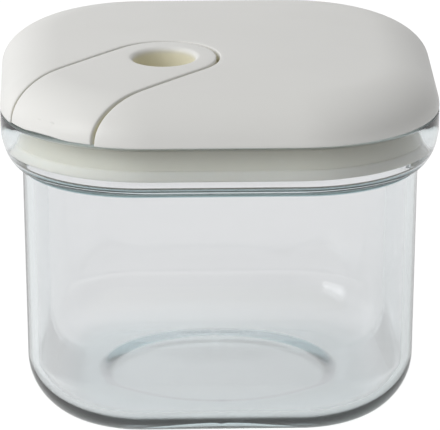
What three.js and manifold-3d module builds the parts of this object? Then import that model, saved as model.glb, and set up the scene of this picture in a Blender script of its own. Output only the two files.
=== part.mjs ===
// Storage jar: a clear rounded-square jar and a domed lid whose corner lever
// works an expanding seal. Millimetres, +Z up, origin at the middle of the jar's underside.

import * as THREE from 'three';
import { mergeVertices } from 'three/addons/utils/BufferGeometryUtils.js';
import Module from 'manifold-3d';

const wasm = await Module();
wasm.setup();

// Jar
const COLLAR_HALF = 65;          // half the width over the collar, and over the lid
const COLLAR_CORNER = 43.2;      // plan radius of the collar's corners
const COLLAR_WALL = 3.4;
const COLLAR_SIDE = 4.5;         // rim to the top of the collar's rounded underside
const RIM_Z = 94.2;
const RIM_ROUND = 0.8;
const SHOULDER_STEP = 6.4;       // how far the body stands in from the collar
const SHOULDER_ROUND = 11.25;    // height of the collar's rounded underside
const BODY_CORNER = 34;
const BODY_WALL = 3;
const BODY_TAPER = 1.3;          // how much each side draws in from shoulder to base
const BASE_ROUND = 18.7;
const FLOOR = 5;
const FLOOR_ROUND = 15;
const FOOT_WIDTH = 5;
const FOOT_RECESS = 0.8;
const LEDGE_DEPTH = 11.5;        // inside ledge below the rim
const LEDGE_ROUND = 2.6;
const LEDGE_EDGE = 0.8;

// Lid
const SEAM = 0.5;                // gap between the rim and the cover
const ROLL_RUN = 19.2;           // plan width of the dome's rolled edge
const ROLL_RISE = 12.4;          // height of the rolled edge
const CROWN = 1.5;               // rise from the rolled edge to the middle
const COVER_SKIN = 2.2;
const FLANGE = 1.6;
const SKIRT_GAP = 0.6;           // collar wall to skirt
const SKIRT_WALL = 1.7;
const SKIRT_DROP = 1;            // how far the skirt reaches below the rim

// Lever and its well
const LEVER_HALF = 16.2;
const LEVER_END = 24.2;          // lid's middle to the centre of the lever's round end
const LEVER_SKIN = 2.3;
const LEVER_SIDE = 1.6;
const LEVER_LIFT = 1;            // space under the lever's sides
const GROOVE = 1.1;
const WELL_WALL = 1.6;
const WELL_FLOOR = 2;
const HOLE_AT = 23.2;            // lid's middle to the finger hole
const HOLE_R = 9.2;
const HOLE_LIP = 1.6;
const HOLE_WALL = 1.6;
const HOLE_DEPTH = 7.5;
const HOLE_DROP = 0.5;           // lid's top down to the hole's mouth

// Hinge and crank, at the lid's front-left corner
const LEVER_TURN = THREE.MathUtils.degToRad(225);
const LEVER_RANGE = THREE.MathUtils.degToRad(75);
const HEEL_R = 3.8;              // the lever's heel turns inside this radius
const HEEL_FACE = 1.75;          // hinge to the heel's outer face
const HEEL_CLEAR = 0.3;          // heel to rim and to the lid
const HEEL_BACK = 2;             // heel bar's reach inboard of the hinge
const HINGE_PIN_R = 0.5;
const HINGE_PIN_HALF = 7;
const HINGE_FIT = 0.25;
const EAR_FIT = 0.15;
const EAR_WALL = 0.4;
const EAR_WIDTH = 1.3;
const EAR_NECK = 0.95;           // half the height of the lug's neck
const EAR_FOOT = 3.4;            // lug's length on the well's floor
const CRANK = 2.5;               // hinge to drive pin
const DRIVE_PIN_R = 0.9;
const DRIVE_FIT = 0.2;
const ARM_WIDTH = 1.3;
const ARM_WALL = 0.6;
const ARM_ROOT = 1;              // half the height of the arm's joint with the heel
const ARM_BITE = 0.1;            // how far the arm's root runs into the heel
const SIDE_GAP = 0.3;            // sideways gap between neighbours on the hinge

// Seal, base and expander
const SEAL_GAP = 1;              // collar wall to the seal's band
const SEAL_BEAD = 0.7;           // how far the bead stands out from the band
const SEAL_SKIN = 1.3;
const SEAL_FIT = 0.3;            // clearance round the seal
const SEAL_LIP = 1.6;
const SEAL_HOLD = 2.5;           // how far the seal's lips lap over the base's edge
const LEDGE_CLEAR = 1;           // ledge to the seal's lower lip
const BASE_PLATE = 1.6;
const WEDGE_RISE = 1.8;          // height of the wedge's sloping face
const WEDGE_GAP = 0.4;
const WEDGE_RIM = 0.9;           // upright edge above the wedge
const EXPANDER_WEB = 1.6;
const EXPANDER_RIM = 3.5;
const HOOK_HALF = 1.8;
const HOOK_BAR = 1.1;
const HOOK_FIT = 0.25;
const HOOK_POST = 2.5;
const HOOK_TIP = 0.4;            // hinge pin to the hook's tip
const HOOK_CLEAR = 0.6;          // hook's post to the back of the cover's notch

// Screws
const SCREW_EDGE = 19;           // base's edge to a screw
const SCREW_R = 1.25;
const SCREW_HEAD_R = 2.6;
const SCREW_HEAD = 1.7;
const SCREW_LENGTH = 10;
const SCREW_FIT = 0.35;
const SCREW_CROSS = 1.55;        // half the length of the head's cross
const SCREW_SLOT = 0.8;
const SCREW_SLOT_DEPTH = 0.9;
const BOSS_R = 4;
const BOSS_GAP = 0.3;            // base boss to cover boss
const BOSS_RISE = 3.8;           // base boss above the base plate
const BOSS_SEAT = 0.8;           // base boss floor over the screw head
const GUIDE_FIT = 0.6;           // expander hole round the bosses

// Fineness
const CORNER_STEPS = 8;
const ARC_STEPS = 5;
const ROLL_STEPS = 9;
const CROWN_STEPS = 4;
const ROUND_SIDES = 16;
const HOLE_SIDES = 32;
const OVERCUT = 1;               // how far a cutting shape runs past a face
const FAR = 2 * COLLAR_HALF;     // longer than anything in the lid
const MERGE = 1e-4;

// Worked-out places
const QUARTER = Math.PI / 2;
const COVER_Z = RIM_Z + SEAM;
const SHOULDER_Z = RIM_Z - COLLAR_SIDE - SHOULDER_ROUND;
const BODY_HALF = COLLAR_HALF - SHOULDER_STEP;
const BASE_HALF = BODY_HALF - BODY_TAPER;
const LEDGE_Z = RIM_Z - LEDGE_DEPTH;
const CORNER_REACH = (COLLAR_HALF - COLLAR_CORNER) * Math.SQRT2 + COLLAR_CORNER;
const SKIRT_OUT = COLLAR_WALL + SKIRT_GAP;
const SKIRT_IN = SKIRT_OUT + SKIRT_WALL;
const SKIRT_Z = RIM_Z - SKIRT_DROP;
const HINGE_Z = RIM_Z + HEEL_CLEAR + HEEL_R;
const HINGE_X = CORNER_REACH - domeInset(HINGE_Z - COVER_Z) - HEEL_FACE;
const CRANK_REST = LEVER_RANGE / 2;
const DRIVE_X = -CRANK * Math.cos(CRANK_REST);
const DRIVE_Z = -CRANK * Math.sin(CRANK_REST);
const EXPANDER_TRAVEL = 2 * CRANK * Math.sin(CRANK_REST);
const SEAL_OUT = COLLAR_WALL + SEAL_GAP;
const SEAL_IN = SEAL_OUT + SEAL_SKIN;
const SEAL_TOP = SKIRT_Z - SEAL_FIT;
const SEAL_Z = LEDGE_Z + LEDGE_CLEAR;
const BASE_EDGE = SEAL_IN + SEAL_FIT;
const BASE_Z = SEAL_Z + SEAL_LIP + SEAL_FIT;
const SCREW_AT = COLLAR_HALF - BASE_EDGE - SCREW_EDGE;
const BASE_TOP = BASE_Z + BASE_PLATE;
const LIP_IN = SEAL_IN + SEAL_HOLD;
const UPPER_LIP_Z = BASE_TOP + SEAL_FIT;
const WEDGE_Z = UPPER_LIP_Z + SEAL_LIP / 2;
const EXPANDER_Z = WEDGE_Z + WEDGE_GAP;
const EXPANDER_EDGE = SEAL_IN + WEDGE_GAP;
const EXPANDER_TOP = EXPANDER_Z + WEDGE_RISE + WEDGE_RIM;
const FLOOR_UNDER = EXPANDER_TOP + EXPANDER_TRAVEL + WEDGE_GAP;
const WELL_Z = FLOOR_UNDER + WELL_FLOOR;
const WELL_HALF = LEVER_HALF + GROOVE;
const WELL_BACK = HINGE_X - HEEL_R - HEEL_CLEAR;
const LEVER_UNDER = WELL_Z + LEVER_LIFT;
const EAR_R = HINGE_PIN_R + EAR_FIT + EAR_WALL;
const SLOT_R = EAR_R + SIDE_GAP;
const ARM_IN = HOOK_HALF + SIDE_GAP;
const ARM_OUT = ARM_IN + ARM_WIDTH;
const NOTCH_HALF = ARM_OUT + SIDE_GAP;
const EAR_IN = NOTCH_HALF + SIDE_GAP;
const EAR_OUT = EAR_IN + EAR_WIDTH;
const SLOT_HALF = EAR_OUT + SIDE_GAP;
const ARM_R = DRIVE_PIN_R + DRIVE_FIT + ARM_WALL;
const HOOK_END = -HINGE_PIN_R - HOOK_TIP;
const HOOK_BACK = DRIVE_X - ARM_R - HOOK_POST;
const BASE_BOSS_TOP = BASE_TOP + BOSS_RISE;
const COVER_BOSS_Z = BASE_BOSS_TOP + BOSS_GAP;
const SCREW_SEAT = BASE_TOP + BOSS_SEAT;
const GUIDE_R = BOSS_R + GUIDE_FIT;

// Finishes
const CLEAR = { color: 0xdfe8e8, roughness: 0.05, metalness: 0, transparent: true, opacity: 0.35 };
const OFF_WHITE = { color: 0xe9e7e1, roughness: 0.35, metalness: 0 };
const SILICONE = { color: 0xe3e1d6, roughness: 0.55, metalness: 0 };
const INNER_WHITE = { color: 0xdedcd4, roughness: 0.5, metalness: 0 };
const STEEL = { color: 0xb9bcc0, roughness: 0.3, metalness: 1 };

// Plan inset of the dome's outer face at a height above the cover's lower edge
function domeInset(height) {
  return ROLL_RUN * (1 - Math.sqrt(1 - (height / ROLL_RISE) ** 2));
}

// One level of a rounded-square body
function level(half, corner, z) {
  return { half, corner, z };
}

// A level whose outline is the collar's, drawn in evenly by an inset
function collarLevel(inset, z) {
  return level(COLLAR_HALF - inset, COLLAR_CORNER - inset, z);
}

// Points of a level's outline, counter-clockwise
function outline({ half, corner, z }) {
  const points = [];
  const centre = (half - corner) * Math.SQRT2;
  for (let side = 0; side < 4; side += 1) {
    const turn = side * QUARTER;
    const middle = turn + QUARTER / 2;
    for (let step = 0; step <= CORNER_STEPS; step += 1) {
      const angle = turn + (step / CORNER_STEPS) * QUARTER;
      const x = centre * Math.cos(middle) + corner * Math.cos(angle);
      const y = centre * Math.sin(middle) + corner * Math.sin(angle);
      points.push(x, y, z);
    }
  }
  return points;
}

// Walls between successive levels of points
function bandFaces(count, rows, closed) {
  const faces = [];
  const bands = closed ? rows : rows - 1;
  for (let row = 0; row < bands; row += 1) {
    const low = row * count;
    const high = ((row + 1) % rows) * count;
    for (let place = 0; place < count; place += 1) {
      const next = (place + 1) % count;
      faces.push(low + place, low + next, high + next);
      faces.push(low + place, high + next, high + place);
    }
  }
  return faces;
}

function meshOf(points, faces) {
  const geometry = new THREE.BufferGeometry();
  geometry.setAttribute('position', new THREE.Float32BufferAttribute(points, 3));
  geometry.setIndex(faces);
  return geometry;
}

// A body through levels, closed at both ends, with the last end's middle at topZ
function stack(levels, topZ = levels[levels.length - 1].z) {
  const points = levels.flatMap(outline);
  const count = 4 * (CORNER_STEPS + 1);
  const faces = bandFaces(count, levels.length, false);
  const total = count * levels.length;
  const last = total - count;
  points.push(0, 0, levels[0].z, 0, 0, topZ);
  for (let place = 0; place < count; place += 1) {
    const next = (place + 1) % count;
    faces.push(total, next, place);
    faces.push(total + 1, last + place, last + next);
  }
  return meshOf(points, faces);
}

// A ring whose section, given as [inset, z] points, follows the collar's outline
function ring(section) {
  const levels = section.map(([inset, z]) => collarLevel(inset, z));
  return meshOf(levels.flatMap(outline), bandFaces(4 * (CORNER_STEPS + 1), levels.length, true));
}

// A ring with an upright rectangular section
function band(outer, inner, lowZ, highZ) {
  return ring([[outer, lowZ], [outer, highZ], [inner, highZ], [inner, lowZ]]);
}

function solid(geometry) {
  const bare = geometry.clone();
  bare.deleteAttribute('normal');
  bare.deleteAttribute('uv');
  const merged = mergeVertices(bare, MERGE);
  const vertProperties = new Float32Array(merged.getAttribute('position').array);
  const triVerts = new Uint32Array(merged.index.array);
  return new wasm.Manifold(new wasm.Mesh({ numProp: 3, vertProperties, triVerts }));
}

function surface(body) {
  const mesh = body.getMesh();
  const geometry = meshOf(Array.from(mesh.vertProperties), Array.from(mesh.triVerts));
  geometry.computeVertexNormals();
  return geometry;
}

function named(name, geometry, finish) {
  const mesh = new THREE.Mesh(geometry, new THREE.MeshStandardMaterial(finish));
  mesh.name = name;
  return mesh;
}

function box(low, high) {
  const size = high.map((value, axis) => value - low[axis]);
  const geometry = new THREE.BoxGeometry(...size);
  return geometry.translate(...low.map((value, axis) => value + size[axis] / 2));
}

function uprightRod(x, y, radius, lowZ, highZ, sides = ROUND_SIDES) {
  const geometry = new THREE.CylinderGeometry(radius, radius, highZ - lowZ, sides);
  return geometry.rotateX(QUARTER).translate(x, y, (lowZ + highZ) / 2);
}

// A rod along Y through (x, z)
function crossRod(x, z, radius, lowY, highY) {
  const geometry = new THREE.CylinderGeometry(radius, radius, highY - lowY, ROUND_SIDES);
  return geometry.translate(x, (lowY + highY) / 2, z);
}

// A plate lying in the XZ plane, given by [x, z] corners counter-clockwise seen from -Y
function crossPlate(corners, lowY, highY) {
  const shape = new THREE.Shape(corners.map(([x, z]) => new THREE.Vector2(x, z)));
  const geometry = new THREE.ExtrudeGeometry(shape, { depth: highY - lowY, bevelEnabled: false });
  return geometry.rotateX(QUARTER).translate(0, highY, 0);
}

// The lever's plan: straight sides, one round end near the lid's middle, open towards the corner
function stripPrism(half, lowZ, highZ) {
  const shape = new THREE.Shape();
  shape.moveTo(LEVER_END, -half);
  shape.lineTo(FAR, -half);
  shape.lineTo(FAR, half);
  shape.lineTo(LEVER_END, half);
  shape.absarc(LEVER_END, 0, half, QUARTER, 3 * QUARTER, false);
  const options = { depth: highZ - lowZ, bevelEnabled: false, curveSegments: HOLE_SIDES / 2 };
  return new THREE.ExtrudeGeometry(shape, options).translate(0, 0, lowZ);
}

// From the lever's frame, whose X runs from the lid's middle to the corner, to the lid's
function toLid(geometry) {
  return geometry.rotateZ(LEVER_TURN);
}

// From the hinge's frame to the lid's
function hingeToLid(geometry) {
  return toLid(geometry.translate(HINGE_X, 0, HINGE_Z));
}

// From the lid's frame to the hinge's
function lidToHinge(geometry) {
  return geometry.rotateZ(-LEVER_TURN).translate(-HINGE_X, 0, -HINGE_Z);
}

// The lid's dome, filled, with its outer face moved in by a skin; dropped levels run below the edge
function dome(skin, drop) {
  const levels = [];
  const run = ROLL_RUN - skin;
  const rise = ROLL_RISE - skin;
  if (drop > 0) {
    levels.push(collarLevel(skin, COVER_Z - drop));
  }
  for (let step = 0; step <= ROLL_STEPS; step += 1) {
    const angle = (step / ROLL_STEPS) * QUARTER;
    levels.push(collarLevel(skin + run * (1 - Math.cos(angle)), COVER_Z + rise * Math.sin(angle)));
  }
  const edge = levels[levels.length - 1];
  for (let step = 1; step < CROWN_STEPS; step += 1) {
    const share = 1 - step / CROWN_STEPS;
    levels.push(level(edge.half * share, edge.corner * share, edge.z + CROWN * (1 - share * share)));
  }
  return stack(levels, edge.z + CROWN);
}

function bodyHalfAt(z) {
  return BASE_HALF + BODY_TAPER * (z / SHOULDER_Z);
}

// Corner radius between two insets of the collar, worked out in proportion
function blend(inset, from, to) {
  const share = (inset - from.inset) / (to.inset - from.inset);
  return from.corner + share * (to.corner - from.corner);
}

// Round between a wall and a floor, from the floor up, as levels
function bottomRound(radius, floorZ, wall) {
  const levels = [];
  for (let step = 0; step <= ARC_STEPS; step += 1) {
    const angle = (step / ARC_STEPS) * QUARTER;
    const z = floorZ + radius * (1 - Math.cos(angle));
    const inset = wall + radius * (1 - Math.sin(angle));
    levels.push(level(bodyHalfAt(z) - inset, BODY_CORNER - inset, z));
  }
  return levels;
}

function jarOutside() {
  const foot = bottomRound(BASE_ROUND, 0, 0);
  const recessHalf = foot[0].half - FOOT_WIDTH;
  const recessCorner = foot[0].corner - FOOT_WIDTH;
  const levels = [level(recessHalf - FOOT_RECESS, recessCorner - FOOT_RECESS, FOOT_RECESS)];
  levels.push(level(recessHalf, recessCorner, 0), ...foot);
  const collar = { inset: 0, corner: COLLAR_CORNER };
  const body = { inset: SHOULDER_STEP, corner: BODY_CORNER };
  for (let step = 0; step <= ROLL_STEPS; step += 1) {
    const angle = (1 - step / ROLL_STEPS) * QUARTER;
    const inset = SHOULDER_STEP * (1 - Math.cos(angle));
    const z = SHOULDER_Z + SHOULDER_ROUND * (1 - Math.sin(angle));
    levels.push(level(COLLAR_HALF - inset, blend(inset, collar, body), z));
  }
  levels.push(collarLevel(0, RIM_Z - RIM_ROUND));
  return levels;
}

function jarInside() {
  const bodyInset = SHOULDER_STEP + BODY_WALL;
  const collar = { inset: COLLAR_WALL, corner: COLLAR_CORNER - COLLAR_WALL };
  const body = { inset: bodyInset, corner: BODY_CORNER - BODY_WALL };
  const levels = [collarLevel(RIM_ROUND, RIM_Z), collarLevel(COLLAR_WALL - RIM_ROUND, RIM_Z)];
  levels.push(collarLevel(COLLAR_WALL, RIM_Z - RIM_ROUND));
  for (let step = 0; step <= ARC_STEPS; step += 1) {
    const angle = (step / ARC_STEPS) * QUARTER;
    const inset = COLLAR_WALL + LEDGE_ROUND * (1 - Math.cos(angle));
    const z = LEDGE_Z + LEDGE_ROUND * (1 - Math.sin(angle));
    levels.push(level(COLLAR_HALF - inset, blend(inset, collar, body), z));
  }
  const edge = bodyInset - LEDGE_EDGE;
  levels.push(level(COLLAR_HALF - edge, blend(edge, collar, body), LEDGE_Z));
  levels.push(level(COLLAR_HALF - bodyInset, body.corner, LEDGE_Z - LEDGE_EDGE));
  levels.push(...bottomRound(FLOOR_ROUND, FLOOR, BODY_WALL).reverse());
  return levels;
}

function makeJar() {
  return stack([...jarOutside(), ...jarInside()]);
}

function screwPlaces() {
  return [0, 1, 2, 3].map((side) => {
    const angle = side * QUARTER;
    return [SCREW_AT * Math.cos(angle), SCREW_AT * Math.sin(angle)];
  });
}

// Lug that carries the hinge pin, in the hinge's frame
function makeEar(side) {
  const lowY = side > 0 ? EAR_IN : -EAR_OUT;
  const highY = lowY + EAR_WIDTH;
  const root = WELL_BACK - HINGE_X;
  const under = WELL_Z - WELL_FLOOR / 2 - HINGE_Z;
  const foot = solid(box([root - EAR_FOOT, lowY, under], [root, highY, EAR_NECK]));
  const neck = solid(box([root - EAR_FOOT, lowY, -EAR_NECK], [0, highY, EAR_NECK]));
  return solid(crossRod(0, 0, EAR_R, lowY, highY)).add(foot).add(neck);
}

function makeCover() {
  const outer = solid(dome(0, 0));
  const flange = solid(band(0, SKIRT_IN, COVER_Z, COVER_Z + FLANGE)).intersect(outer);
  const skirt = solid(band(SKIRT_OUT, SKIRT_IN, SKIRT_Z, COVER_Z + FLANGE / 2));
  const wellBlock = solid(toLid(stripPrism(WELL_HALF + WELL_WALL, FLOOR_UNDER, FAR))).intersect(outer);
  let cover = outer.subtract(solid(dome(COVER_SKIN, OVERCUT))).add(flange).add(skirt).add(wellBlock);
  for (const [x, y] of screwPlaces()) {
    const boss = solid(uprightRod(x, y, BOSS_R, COVER_BOSS_Z, FAR));
    const trim = solid(uprightRod(x, y, BOSS_R + OVERCUT, COVER_BOSS_Z - OVERCUT, COVER_Z));
    const pilot = uprightRod(x, y, SCREW_R + SCREW_FIT, COVER_BOSS_Z - OVERCUT, SCREW_SEAT + SCREW_LENGTH);
    cover = cover.add(boss.intersect(outer.add(trim))).subtract(solid(pilot));
  }
  cover = cover.subtract(solid(toLid(stripPrism(WELL_HALF, WELL_Z, FAR))));
  const corner = box([WELL_BACK, -WELL_HALF, RIM_Z], [FAR, WELL_HALF, FAR]);
  cover = cover.subtract(solid(toLid(corner)));
  const notchBack = HINGE_X + HOOK_BACK - HOOK_CLEAR;
  const notch = box([notchBack, -NOTCH_HALF, SKIRT_Z - OVERCUT], [FAR, NOTCH_HALF, FAR]);
  cover = cover.subtract(solid(toLid(notch)));
  for (const side of [1, -1]) {
    cover = cover.add(movedToLid(makeEar(side)));
  }
  const bore = crossRod(0, 0, HINGE_PIN_R + EAR_FIT, -SLOT_HALF, SLOT_HALF);
  return surface(cover.subtract(solid(hingeToLid(bore))));
}

function movedToLid(body) {
  return solid(hingeToLid(surface(body)));
}

// Crank arm round both pins, joined to the lever's heel, in the hinge's frame
function makeArm(side) {
  const lowY = side > 0 ? ARM_IN : -ARM_OUT;
  const highY = lowY + ARM_WIDTH;
  const heelFace = SLOT_R + ARM_BITE;
  const across = [-DRIVE_Z / CRANK, DRIVE_X / CRANK];
  const link = [
    [across[0] * ARM_R, across[1] * ARM_R],
    [-across[0] * ARM_R, -across[1] * ARM_R],
    [DRIVE_X - across[0] * ARM_R, DRIVE_Z - across[1] * ARM_R],
    [DRIVE_X + across[0] * ARM_R, DRIVE_Z + across[1] * ARM_R],
  ];
  const root = [
    [0, -ARM_ROOT],
    [heelFace, -ARM_ROOT],
    [heelFace, ARM_ROOT],
    [0, ARM_ROOT],
  ];
  const hub = solid(crossRod(0, 0, EAR_R, lowY, highY));
  const eye = solid(crossRod(DRIVE_X, DRIVE_Z, ARM_R, lowY, highY));
  const plates = solid(crossPlate(link, lowY, highY)).add(solid(crossPlate(root, lowY, highY)));
  return hub.add(eye).add(plates);
}

// The lever in the hinge's frame
function makeLever() {
  const outer = solid(lidToHinge(dome(0, 0)));
  const inner = solid(lidToHinge(dome(LEVER_SKIN, 0)));
  const plan = (half, lowZ) => solid(stripPrism(half, lowZ, FAR).translate(-HINGE_X, 0, -HINGE_Z));
  const strip = plan(LEVER_HALF, 0);
  const hollowEnd = solid(box([-FAR, -FAR, -FAR], [-HEEL_BACK, FAR, FAR]));
  const hollow = plan(LEVER_HALF - LEVER_SIDE, 0).intersect(inner).intersect(hollowEnd);
  const above = solid(box([-FAR, -FAR, LEVER_UNDER - HINGE_Z], [FAR, FAR, FAR]));
  let lever = outer.intersect(strip).intersect(above).subtract(hollow);

  const heelBox = solid(box([-HEEL_BACK, -FAR, -FAR], [FAR, FAR, SLOT_R]));
  const heelTurn = solid(crossRod(0, 0, HEEL_R, -FAR, FAR));
  const heelTop = solid(box([-HEEL_BACK, -FAR, 0], [FAR, FAR, FAR]));
  const heel = outer.intersect(strip).intersect(heelBox).intersect(heelTurn.add(heelTop));
  const belowAxis = solid(box([-HEEL_BACK, -FAR, -FAR], [FAR, FAR, 0]));
  lever = lever.subtract(belowAxis).add(heel);

  const slot = solid(crossRod(0, 0, SLOT_R, -SLOT_HALF, SLOT_HALF));
  const slotBack = solid(box([-FAR / 2, -SLOT_HALF, -FAR], [0, SLOT_HALF, SLOT_R]));
  const neck = EAR_NECK + SIDE_GAP;
  const slotTurn = solid(box([-FAR / 2, -SLOT_HALF, -neck], [0, SLOT_HALF, neck]).rotateY(-LEVER_RANGE));
  lever = lever.subtract(slot).subtract(slotBack).subtract(slotTurn);
  lever = lever.add(makeArm(1)).add(makeArm(-1));

  const boreHalf = HINGE_PIN_HALF + SIDE_GAP;
  const hingeBore = solid(crossRod(0, 0, HINGE_PIN_R + HINGE_FIT, -boreHalf, boreHalf));
  const driveBore = solid(crossRod(DRIVE_X, DRIVE_Z, DRIVE_PIN_R + DRIVE_FIT, -SLOT_HALF, SLOT_HALF));
  lever = lever.subtract(hingeBore).subtract(driveBore);

  const holeX = HOLE_AT - HINGE_X;
  const topZ = COVER_Z + ROLL_RISE + CROWN - HINGE_Z;
  const lipZ = topZ - HOLE_DROP;
  const tubeR = HOLE_R + HOLE_WALL;
  const tube = solid(uprightRod(holeX, 0, tubeR, lipZ - HOLE_DEPTH, FAR, HOLE_SIDES)).intersect(outer);
  const throat = solid(uprightRod(holeX, 0, HOLE_R, -FAR, FAR, HOLE_SIDES));
  return surface(lever.add(tube).subtract(throat).subtract(solid(holeLip(holeX, lipZ))));
}

// Round-over of the finger hole's mouth, as a cutting shape
function holeLip(holeX, lipZ) {
  const profile = [new THREE.Vector2(0, lipZ - HOLE_LIP)];
  for (let step = 0; step <= ARC_STEPS; step += 1) {
    const angle = (step / ARC_STEPS) * QUARTER;
    const radius = HOLE_R + HOLE_LIP * (1 - Math.cos(angle));
    profile.push(new THREE.Vector2(radius, lipZ - HOLE_LIP * (1 - Math.sin(angle))));
  }
  profile.push(new THREE.Vector2(HOLE_R + HOLE_LIP, lipZ + OVERCUT), new THREE.Vector2(0, lipZ + OVERCUT));
  return new THREE.LatheGeometry(profile, HOLE_SIDES).rotateX(QUARTER).translate(holeX, 0, 0);
}

// Seal section: outer band with a round bead, and two lips that hold the base's edge
function makeSeal() {
  const bead = [];
  for (let step = 0; step <= ROLL_STEPS; step += 1) {
    const angle = (step / ROLL_STEPS) * Math.PI;
    bead.push([SEAL_OUT - SEAL_BEAD * Math.sin(angle), SEAL_Z + SEAL_LIP * (1 - Math.cos(angle))]);
  }
  return ring([
    [LIP_IN, SEAL_Z],
    ...bead,
    [SEAL_OUT, SEAL_TOP],
    [SEAL_IN, SEAL_TOP],
    [SEAL_IN, WEDGE_Z + WEDGE_RISE],
    [LIP_IN, WEDGE_Z],
    [LIP_IN, UPPER_LIP_Z],
    [SEAL_IN, UPPER_LIP_Z],
    [SEAL_IN, SEAL_Z + SEAL_LIP],
    [LIP_IN, SEAL_Z + SEAL_LIP],
  ]);
}

function plate(inset, lowZ, highZ) {
  return stack([collarLevel(inset, lowZ), collarLevel(inset, highZ)]);
}

function makeBase() {
  let base = solid(plate(BASE_EDGE, BASE_Z, BASE_TOP));
  for (const [x, y] of screwPlaces()) {
    base = base.add(solid(uprightRod(x, y, BOSS_R, BASE_Z + BASE_PLATE / 2, BASE_BOSS_TOP)));
    const headR = SCREW_HEAD_R + SCREW_FIT;
    base = base.subtract(solid(uprightRod(x, y, headR, BASE_Z - OVERCUT, SCREW_SEAT)));
    base = base.subtract(solid(uprightRod(x, y, SCREW_R + SCREW_FIT, BASE_Z, BASE_BOSS_TOP + OVERCUT)));
  }
  return surface(base);
}

// Post and hook that the drive pin lifts, in the hinge's frame
function makeHook() {
  const grip = DRIVE_PIN_R + HOOK_FIT;
  const foot = EXPANDER_Z + WEDGE_RISE - HINGE_Z;
  const corners = [
    [HOOK_BACK, foot],
    [HOOK_BACK + HOOK_POST, foot],
    [HOOK_BACK + HOOK_POST, DRIVE_Z - grip - HOOK_BAR],
    [HOOK_END, DRIVE_Z - grip - HOOK_BAR],
    [HOOK_END, DRIVE_Z - grip],
    [HOOK_BACK + HOOK_POST, DRIVE_Z - grip],
    [HOOK_BACK + HOOK_POST, DRIVE_Z + grip],
    [HOOK_END, DRIVE_Z + grip],
    [HOOK_END, DRIVE_Z + grip + HOOK_BAR],
    [HOOK_BACK, DRIVE_Z + grip + HOOK_BAR],
  ];
  return crossPlate(corners, -HOOK_HALF, HOOK_HALF);
}

function makeExpander() {
  const wedge = ring([
    [EXPANDER_EDGE + EXPANDER_RIM, EXPANDER_Z],
    [LIP_IN + WEDGE_GAP, EXPANDER_Z],
    [EXPANDER_EDGE, EXPANDER_Z + WEDGE_RISE],
    [EXPANDER_EDGE, EXPANDER_TOP],
    [EXPANDER_EDGE + EXPANDER_RIM, EXPANDER_TOP],
  ]);
  const web = plate(EXPANDER_EDGE + EXPANDER_RIM / 2, EXPANDER_Z, EXPANDER_Z + EXPANDER_WEB);
  const trimmed = solid(web).intersect(solid(plate(LIP_IN + WEDGE_GAP, EXPANDER_Z, EXPANDER_TOP)));
  let expander = solid(wedge).add(trimmed);
  for (const [x, y] of screwPlaces()) {
    expander = expander.subtract(solid(uprightRod(x, y, GUIDE_R, EXPANDER_Z - OVERCUT, EXPANDER_TOP)));
  }
  return surface(expander.add(solid(hingeToLid(makeHook()))));
}

// Pan-head screw seated from below, upright on its own axis
function makeScrew() {
  const headTop = SCREW_SEAT - SCREW_FIT;
  const shank = solid(uprightRod(0, 0, SCREW_R, headTop - SCREW_HEAD / 2, headTop + SCREW_LENGTH - OVERCUT));
  let screw = solid(uprightRod(0, 0, SCREW_HEAD_R, headTop - SCREW_HEAD, headTop)).add(shank);
  const lowZ = headTop - SCREW_HEAD - OVERCUT;
  const highZ = headTop - SCREW_HEAD + SCREW_SLOT_DEPTH;
  for (const [halfX, halfY] of [[SCREW_CROSS, SCREW_SLOT / 2], [SCREW_SLOT / 2, SCREW_CROSS]]) {
    screw = screw.subtract(solid(box([-halfX, -halfY, lowZ], [halfX, halfY, highZ])));
  }
  return surface(screw);
}

// The jar with its lid closed and the lever down
const storageJar = new THREE.Group();
storageJar.add(named('jar', makeJar(), CLEAR));

const lid = new THREE.Group();
lid.add(named('lid_cover', makeCover(), OFF_WHITE));
lid.add(named('seal_ring', makeSeal(), SILICONE));
lid.add(named('lid_base', makeBase(), OFF_WHITE));
lid.add(named('expander_plate', makeExpander(), INNER_WHITE));
screwPlaces().forEach(([x, y], index) => {
  const screw = named(`screw_${index + 1}`, makeScrew(), STEEL);
  screw.position.set(x, y, 0);
  lid.add(screw);
});
storageJar.add(lid);

const corner = new THREE.Group();
corner.rotation.z = LEVER_TURN;
const hinge = new THREE.Group();
hinge.position.set(HINGE_X, 0, HINGE_Z);
hinge.add(named('lever', makeLever(), OFF_WHITE));
hinge.add(named('hinge_pin', crossRod(0, 0, HINGE_PIN_R, -HINGE_PIN_HALF, HINGE_PIN_HALF), STEEL));
hinge.add(named('drive_pin', crossRod(DRIVE_X, DRIVE_Z, DRIVE_PIN_R, -ARM_OUT, ARM_OUT), STEEL));
corner.add(hinge);
lid.add(corner);

export default storageJar;
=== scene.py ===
"""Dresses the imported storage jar: smooth pieces for its solids, finishes, a studio and a camera."""

import math

import bmesh
import bpy
import numpy as np
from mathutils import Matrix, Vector
from mathutils.geometry import delaunay_2d_cdt


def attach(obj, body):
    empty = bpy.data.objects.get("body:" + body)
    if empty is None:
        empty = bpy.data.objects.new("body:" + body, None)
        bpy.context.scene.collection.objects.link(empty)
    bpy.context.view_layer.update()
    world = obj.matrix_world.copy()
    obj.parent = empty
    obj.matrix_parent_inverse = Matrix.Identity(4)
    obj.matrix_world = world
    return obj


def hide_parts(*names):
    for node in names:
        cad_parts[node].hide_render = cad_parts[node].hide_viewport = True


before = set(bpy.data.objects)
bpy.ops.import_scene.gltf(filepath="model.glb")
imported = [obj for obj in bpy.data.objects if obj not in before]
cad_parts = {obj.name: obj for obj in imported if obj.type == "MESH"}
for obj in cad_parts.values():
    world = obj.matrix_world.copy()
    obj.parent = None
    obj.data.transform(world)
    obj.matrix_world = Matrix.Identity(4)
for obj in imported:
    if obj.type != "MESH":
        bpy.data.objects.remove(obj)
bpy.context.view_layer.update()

MM = 0.001
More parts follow.
